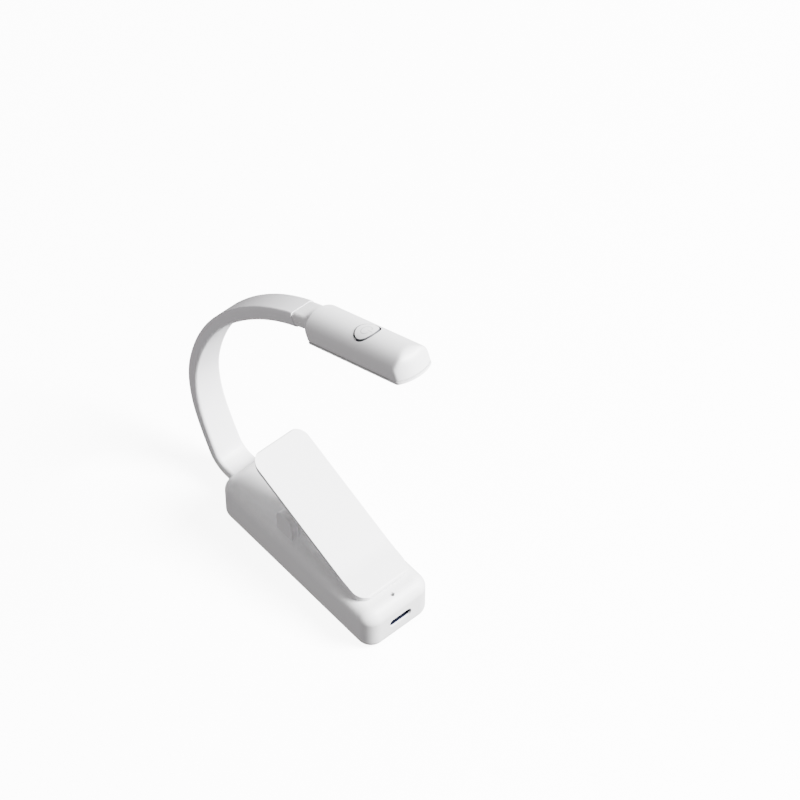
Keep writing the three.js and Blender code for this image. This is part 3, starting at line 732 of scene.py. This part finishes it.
wire_radius, coil_radius, coil_turns, coil_pitch = 0.38 * MM, 2.2 * MM, 4.5, 1.1 * MM
steps_per_turn, coil_start = 24, 0.35 * math.pi
coil_steps = int(coil_turns * steps_per_turn)
route = []
for step in range(coil_steps + 1):
    angle = coil_start + step / steps_per_turn * 2 * math.pi
    side = (step / coil_steps - 0.5) * coil_turns * coil_pitch
    route.append(pivot + Vector((coil_radius * math.cos(angle), side, coil_radius * math.sin(angle))))
first, last = route[0], route[-1]
route.insert(0, first + Vector((-8.2, 0, 8.6)) * MM)
route.insert(1, first + Vector((-3.8, 0, 3.1)) * MM)
route.append(last + Vector((-4, 0, -1.3)) * MM)
route.append(Vector((last.x - 9 * MM, last.y, housing_top + 0.7 * MM)))
bpy.ops.object.select_all(action="DESELECT")
bpy.ops.curve.primitive_nurbs_path_add()
spring = bpy.context.object
spring.name = "clip_spring"
spring.data.splines.clear()
spline = spring.data.splines.new("NURBS")
spline.points.add(len(route) - 1)
for point, spot in zip(spline.points, route):
    point.co = (*spot, 1)
spline.order_u, spline.use_endpoint_u, spline.resolution_u = 3, True, 3
spring.data.bevel_depth, spring.data.bevel_resolution = wire_radius, 4
spring.data.use_fill_caps = True
bpy.ops.object.convert(target="MESH")
spring = bpy.context.object
smooth_finish(spring, 50)
spring_wire = metal("spring_wire", (0.42, 0.43, 0.45), (0.33, 0.34, 0.36), 0.25, (1, 4, 1), 900)
finish_piece(spring, spring_wire, None, "spring_steel", "clip_torsion_spring")
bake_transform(spring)


# ---------- neck ----------
# A silicone sleeve moulded over a flat steel strip that keeps any bend it is given. Each piece here spans one
# of the five places where the neck bends, and meets the next piece halfway between two of them.
silicone, shader, wire, place = new_material("white_silicone", Specular_IOR_Level=0.4)
dust = wire.noise(place, 90)
skin = wire.noise(place, 1800, 2)
feed(
    shader, wire,
    Base_Color=wire.colours(dust, (0.77, 0.765, 0.785), (0.80, 0.795, 0.81)),
    Roughness=0.46 + 0.1 * dust + 0.05 * skin,
    Normal=wire.bump(skin, 0.08, spark_depth),
)
lead_cover, shader, wire, place = new_material("lead_insulation", Roughness=0.45)
black_half = wire.part(place, "Y") > 0
feed(shader, wire, Base_Color=wire.colours(black_half, (0.45, 0.02, 0.02), (0.02, 0.02, 0.022)))
spring_strip = metal("spring_strip", (0.58, 0.58, 0.6), (0.48, 0.48, 0.5), 0.3, (0.1, 1, 0.1))

bends = [26 * MM, 54 * MM, 82 * MM, 110 * MM, 138 * MM]
blend_half = 14 * MM
middles = [(near + far) / 2 for near, far in zip(bends, bends[1:])]


def sleeve_shape(distance):
    """How much wider and thicker the sleeve is than at its root. It narrows all along and thickens late."""
    narrowed = min(1, max(0, (distance - collar_end) / (cap_start - collar_end)))
    thickened = min(1, max(0, (distance - thickens_from) / (cap_start - thickens_from)))
    return (
        1 + narrowed * (neck_tip_width / neck_root_width - 1),
        1 + thickened * (neck_tip_thickness / neck_thickness - 1),
    )


def place_at(distance):
    x, z, heading = neck_at(distance)
    return (x, 0, z)


def across_bends(kind, start, end, material, slot, make):
    """Makes one continuous member of the neck as five pieces, each spanning its own bend."""
    stops = [start, *middles, end]
    for number, bend in enumerate(bends):
        piece = make(f"{kind}_part_{number + 1}", stops[number], stops[number + 1])
        smooth_finish(piece, 50)
        links = [number + 1] if bend != bends[-1] else [number + 1, number + 2]
        finish_piece(piece, material, None, slot, *(f"neck_{kind}_{link}" for link in links))
        place_at(bend - blend_half)
        place_at(bend + blend_half)
        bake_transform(piece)


def sleeve_part(name, start, end):
    piece = neck_bar(name, start, end, neck_root_width, neck_thickness, neck_corner, shape=sleeve_shape)
    boolean(piece, channel(start - MM, end + MM))
    return piece


def strip_part(name, start, end):
    return neck_bar(name, start, end, 5 * MM, 0.8 * MM, 0.2 * MM, offset=-0.55 * MM, spacing=2 * MM)


def lead_part(name, start, end):
    return neck_bar(name, start, end, 4 * MM, 0.6 * MM, 0.28 * MM, offset=0.6 * MM, spacing=2 * MM)


across_bends("sleeve", collar_end, cap_start - seam_gap, silicone, "white_silicone", sleeve_part)
across_bends("strip", -8.5 * MM, neck_length + 9.6 * MM, spring_strip, "steel", strip_part)
across_bends("lead", -48 * MM, neck_length + 14 * MM, lead_cover, "lead_insulation", lead_part)


# ---------- neck anchor, crimp and end cap ----------
# The strip is held by a steel block under the roof at one end and by a crimped steel ferrule in the head at
# the other. A white ABS cap finishes the sleeve where it enters the head, with a fine parting line round it.
paint("neck_anchor", plated_steel)
paint("strip_crimp", plated_steel)

cap_step, cap_corner, cap_spacing = 0.12 * MM, 1.6 * MM, 0.7 * MM
cap = neck_bar(
    "neck_cap", cap_start, neck_length + 4 * MM,
    neck_tip_width - 2 * cap_step, neck_tip_thickness - 2 * cap_step, cap_corner, spacing=cap_spacing,
)
flange = neck_bar(
    "flange", neck_length + 1.4 * MM, neck_length + 3.5 * MM,
    neck_tip_width + 0.6 * MM, neck_tip_thickness - 0.2 * MM, 2 * MM, spacing=cap_spacing,
)
boolean(cap, flange, "UNION")
boolean(cap, channel(cap_start - MM, neck_length + 5 * MM))
groove_height, groove_corner = 0.16 * MM, 0.02 * MM
groove = neck_bar(
    "parting_line", cap_start - MM, neck_length + MM,
    neck_tip_width + MM, groove_height, groove_corner, spacing=cap_spacing,
)
boolean(groove, neck_bar(
    "core", cap_start - 2 * MM, neck_length + 2 * MM,
    neck_tip_width - 0.55 * MM, MM, 0.1 * MM, spacing=cap_spacing,
))
boolean(cap, groove)
smooth_finish(cap)
finish_piece(cap, white_plastic, "head", "white_plastic", "neck_end_cap")


# ---------- head top shell ----------
# A slim half-round housing in white ABS: straight walls, a domed top, a bowed and rounded front end, and a
# crisp flat rear face that the neck enters. It is hollow, with a round hole for the button.
head_length, head_half, head_height = 48.4 * MM, 7 * MM, 9.4 * MM
head_wall, head_bow, head_nose, head_shell = 5.2 * MM, 2.7 * MM, 3.8 * MM, 1.1 * MM
neck_in_head = 4.5 * MM
end_x, end_z, head_pitch = neck_at(neck_length)
head_frame = Matrix.Translation((
    end_x + math.sin(head_pitch) * neck_in_head, 0, end_z - math.cos(head_pitch) * neck_in_head,
)) @ Matrix.Rotation(-head_pitch, 4, "Y")


def set_in_head(piece):
    """Moves a piece drawn flat, from the head's rear lower edge, to where the head is."""
    bpy.ops.object.select_all(action="DESELECT")
    piece.select_set(True)
    bpy.context.view_layer.objects.active = piece
    piece.matrix_world = head_frame
    bpy.ops.object.transform_apply(location=True, rotation=True, scale=True)


def head_form(name, inset, rear, low):
    """The head's outer shape, or its inside. It is cut from a round bar and a block."""
    rise = head_height - head_wall
    dome_radius = (head_half ** 2 + rise ** 2) / (2 * rise)
    dome_centre = head_height - dome_radius
    ends = (rear, 0, dome_centre), (head_length - inset, 0, dome_centre)
    piece = rod(name, dome_radius - inset, *ends, sides=160)
    side = head_half - inset
    boolean(piece, block("upper", (rear - MM, -side, head_wall), (60 * MM, side, 20 * MM)), "INTERSECT")
    overlap = 0.01 * MM
    front = head_length - inset
    boolean(piece, block("lower", (rear, -side, low), (front, side, head_wall + overlap)), "UNION")
    nose = block("nose", (rear - MM, -side - MM, low - MM), (front, side + MM, head_height - inset))
    pick(nose, "EDGE", lambda corners: along(1, corners) and corners[0].x > 0 and corners[0].z > low)
    bevel_picked(head_nose - inset, 20)
    boolean(piece, nose, "INTERSECT")
    bow_radius = (head_half ** 2 + head_bow ** 2) / (2 * head_bow)
    bow_centre = head_length - bow_radius
    straight = bow_centre + math.sqrt(bow_radius ** 2 - head_half ** 2)
    plan = rod("plan", bow_radius - inset, (bow_centre, 0, -5 * MM), (bow_centre, 0, 20 * MM), sides=160)
    body = block("body", (rear - 2 * MM, -side - MM, -4 * MM), (straight, side + MM, 19 * MM))
    boolean(plan, body, "UNION")
    boolean(piece, plan, "INTERSECT")
    return piece


def rounded_over(piece, voxel, passes):
    """Rounds every edge of a form a little, by remeshing it finely and smoothing the result."""
    bpy.context.view_layer.objects.active = piece
    remesh = piece.modifiers.new("remesh", "REMESH")
    remesh.mode, remesh.voxel_size, remesh.adaptivity = "VOXEL", voxel, 0
    bpy.ops.object.modifier_apply(modifier=remesh.name)
    smooth = piece.modifiers.new("smooth", "SMOOTH")
    smooth.factor, smooth.iterations = 0.5, passes
    bpy.ops.object.modifier_apply(modifier=smooth.name)


def head_skin(name):
    """The head's rounded outside, with spare length at the rear and below that is cut off crisply."""
    spare = -4 * MM
    skin = head_form(name, 0, spare, spare)
    rounded_over(skin, 0.28 * MM, 80)
    return skin


def from_button(wire, place):
    """The distances of a shaded point from the button's axis: along the head, across it and straight."""
    flat = wire.add("ShaderNodeMapping", {"vector_type": "TEXTURE"}, {
        "Vector": place,
        "Location": tuple(head_frame @ Vector((button_place, 0, 0))),
        "Rotation": (0, -head_pitch, 0),
    })
    forward, sideways = wire.part(flat, "X"), wire.part(flat, "Y")
    return forward, sideways, wire.sum("SQRT", forward * forward + sideways * sideways, 0)


button_place, button_radius, button_hole = 25.5 * MM, 4 * MM, 4.45 * MM
shell_white, shader, wire, place = new_material("shell_white", Specular_IOR_Level=0.45)
texture = wire.noise(place, spark_grain, 2)
# Painted shade: the wall of the button hole is coloured near black to stand for the shadow in the groove
# round the button.
hole_wall_painted_shade = button_hole + 0.03 * MM > from_button(wire, place)[2]
painted_gap_shade = (0.07, 0.07, 0.08)
feed(
    shader, wire,
    Base_Color=wire.colours(hole_wall_painted_shade, (0.80, 0.80, 0.81), painted_gap_shade),
    Roughness=0.4 + 0.08 * texture,
    Normal=wire.bump(texture, 0.1, spark_depth),
)
split_low, split_high = 1 * MM, 1.3 * MM
shell = head_skin("head_shell")
boolean(shell, block("rear_and_under", (0, -20 * MM, split_high), (60 * MM, 20 * MM, 20 * MM)), "INTERSECT")
boolean(shell, head_form("inside", head_shell, head_shell, -2 * MM))
cap_fit = 0.1 * MM
half_width, half_height = (size / 2 - cap_step + cap_fit for size in (neck_tip_width, neck_tip_thickness))
neck_hole = block(
    "neck_hole",
    (-MM, -half_width, neck_in_head - half_height),
    (2.3 * MM, half_width, neck_in_head + half_height),
)
pick(neck_hole, "EDGE", lambda corners: along(0, corners))
bevel_picked(cap_corner, 7)
boolean(shell, neck_hole)
button_ends = (button_place, 0, 5 * MM), (button_place, 0, 14 * MM)
boolean(shell, rod("button_hole", button_hole, *button_ends, sides=96))
set_in_head(shell)
smooth_finish(shell, 40)
finish_piece(shell, shell_white, "head", "white_plastic", "head_top_shell")


# ---------- head bottom cover ----------
# A thin white ABS frame that snaps into the open side of the top shell, round the light's window.
window_rear, window_front, window_half = 9 * MM, 43 * MM, 4.8 * MM
frame_plate = head_skin("head_lower_cover")
boolean(frame_plate, block("slice", (0, -20 * MM, 0), (60 * MM, 20 * MM, split_low)), "INTERSECT")
window = block("window", (window_rear, -window_half, -MM), (window_front, window_half, 2 * MM))
pick(window, "EDGE", lambda corners: along(2, corners))
bevel_picked(0.9 * MM, 8)
boolean(frame_plate, window)
pick(frame_plate, "EDGE", lambda corners: all(
    abs(c.z - split_low) < same_place
    and (abs(c.y) > window_half + MM or not window_rear - MM < c.x < window_front + MM)
    for c in corners))
bevel_picked(0.22 * MM, 2)
set_in_head(frame_plate)
smooth_finish(frame_plate, 40)
finish_piece(frame_plate, white_plastic, "head", "white_plastic", "head_bottom_cover")


# ---------- light diffuser ----------
# An opal acrylic lens set in the window from inside. Its face is ribbed finely across, and the four LEDs
# behind it show as faint warm spots.
led_places = [17 * MM, 25 * MM, 33 * MM, 41 * MM]
opal, shader, wire, place = new_material("opal_diffuser", Roughness=0.3, Transmission_Weight=0.15)
flat = wire.add("ShaderNodeMapping", {"vector_type": "TEXTURE"}, {
    "Vector": place, "Location": tuple(head_frame.translation), "Rotation": (0, -head_pitch, 0)})
along_head, across_head = wire.part(flat, "X"), wire.part(flat, "Y")
glow, glow_radius, rib_pitch = 0 * along_head, 3 * MM, 0.8 * MM
for spot in led_places:
    away = along_head - spot
    far = wire.sum("SQRT", away * away + across_head * across_head, 0)
    glow = wire.sum("MAXIMUM", glow, wire.sum("MAXIMUM", 1 - far * (1 / glow_radius), 0))
feed(
    shader, wire,
    Base_Color=wire.colours(glow * 0.7, (0.84, 0.85, 0.85), (0.9, 0.84, 0.55)),
    Normal=wire.bump(wire.sum("SINE", along_head * (2 * math.pi / rib_pitch), 0), 0.4, 0.1 * MM),
)
lens_face = 0.1 * MM
lens = block(
    "light_lens",
    (window_rear + fit, -window_half + fit, lens_face),
    (window_front - fit, window_half - fit, 1.5 * MM),
)
pick(lens, "EDGE", lambda corners: along(2, corners))
bevel_picked(0.7 * MM, 8)
pick(lens, "EDGE", lambda corners: all(abs(c.z - lens_face) < same_place for c in corners))
bevel_picked(0.15 * MM, 3)
boolean(lens, block(
    "lip",
    (window_rear - MM, -window_half - 0.6 * MM, 1.3 * MM),
    (window_front + MM, window_half + 0.6 * MM, 1.9 * MM),
), "UNION")
set_in_head(lens)
smooth_finish(lens)
finish_piece(lens, opal, "head", "opal_diffuser", "light_diffuser")


# ---------- LED board and switch ----------
# A white board with four flat LEDs on its lower face and a tactile switch on its upper face, whose plunger
# reaches up to the button.
white_mask, shader, wire, place = new_material("white_board", Roughness=0.35)
weave = wire.noise(place, 700)
feed(shader, wire, Base_Color=wire.colours(weave, (0.84, 0.84, 0.82), (0.88, 0.88, 0.87)))
paint("led_board", white_mask)
for number in range(1, 5):
    paint(f"led_{number}", phosphor)
switch_black = moulded_black("switch_black", 0.015, 0.4)
paint("tact_switch", switch_black)
paint("switch_plunger", switch_black)


# ---------- power button ----------
# A round white ABS button that follows the head's dome and stands just proud of it, with the usual power
# sign printed on it in pale grey, its stroke towards the tip.
button_white, shader, wire, place = new_material("button_white", Specular_IOR_Level=0.45)
forward, sideways, radius = from_button(wire, place)
ring_radius, line_half = 1.85 * MM, 0.17 * MM
off_line = wire.sum("ABSOLUTE", sideways, 0)
on_ring = line_half > wire.sum("ABSOLUTE", radius - ring_radius, 0)
opening_half = 0.8 * MM
open_front = (forward > 0) * (opening_half > off_line)
stroke = (line_half > off_line) * (forward > 0.9 * MM) * (2.9 * MM > forward)
sign = wire.sum("MAXIMUM", on_ring * (1 - open_front), stroke)
# Painted shade: the button's rim and side are coloured near black to stand for the shadow in the groove round
# it.
button_side_painted_shade = radius > button_radius - 0.15 * MM
texture = wire.noise(place, spark_grain, 2)
print_strength = 0.45
feed(
    shader, wire,
    Base_Color=wire.colours(
        wire.sum("MAXIMUM", sign * print_strength, button_side_painted_shade), (0.80, 0.80, 0.81), painted_gap_shade),
    Roughness=0.4 + 0.08 * texture,
    Normal=wire.bump(texture, 0.1, spark_depth),
)
button_low, button_proud = 7.2 * MM, 0.15 * MM
button = rod("round_button", button_radius, (button_place, 0, button_low), button_ends[1], sides=96)
top = head_form("top", 0, 0, 0)
top.location.z = button_proud
boolean(button, top, "INTERSECT")
soften(button, 0.2 * MM, 4, 60)
set_in_head(button)
smooth_finish(button, 40)
finish_piece(button, button_white, "button", "white_plastic", "power_button")
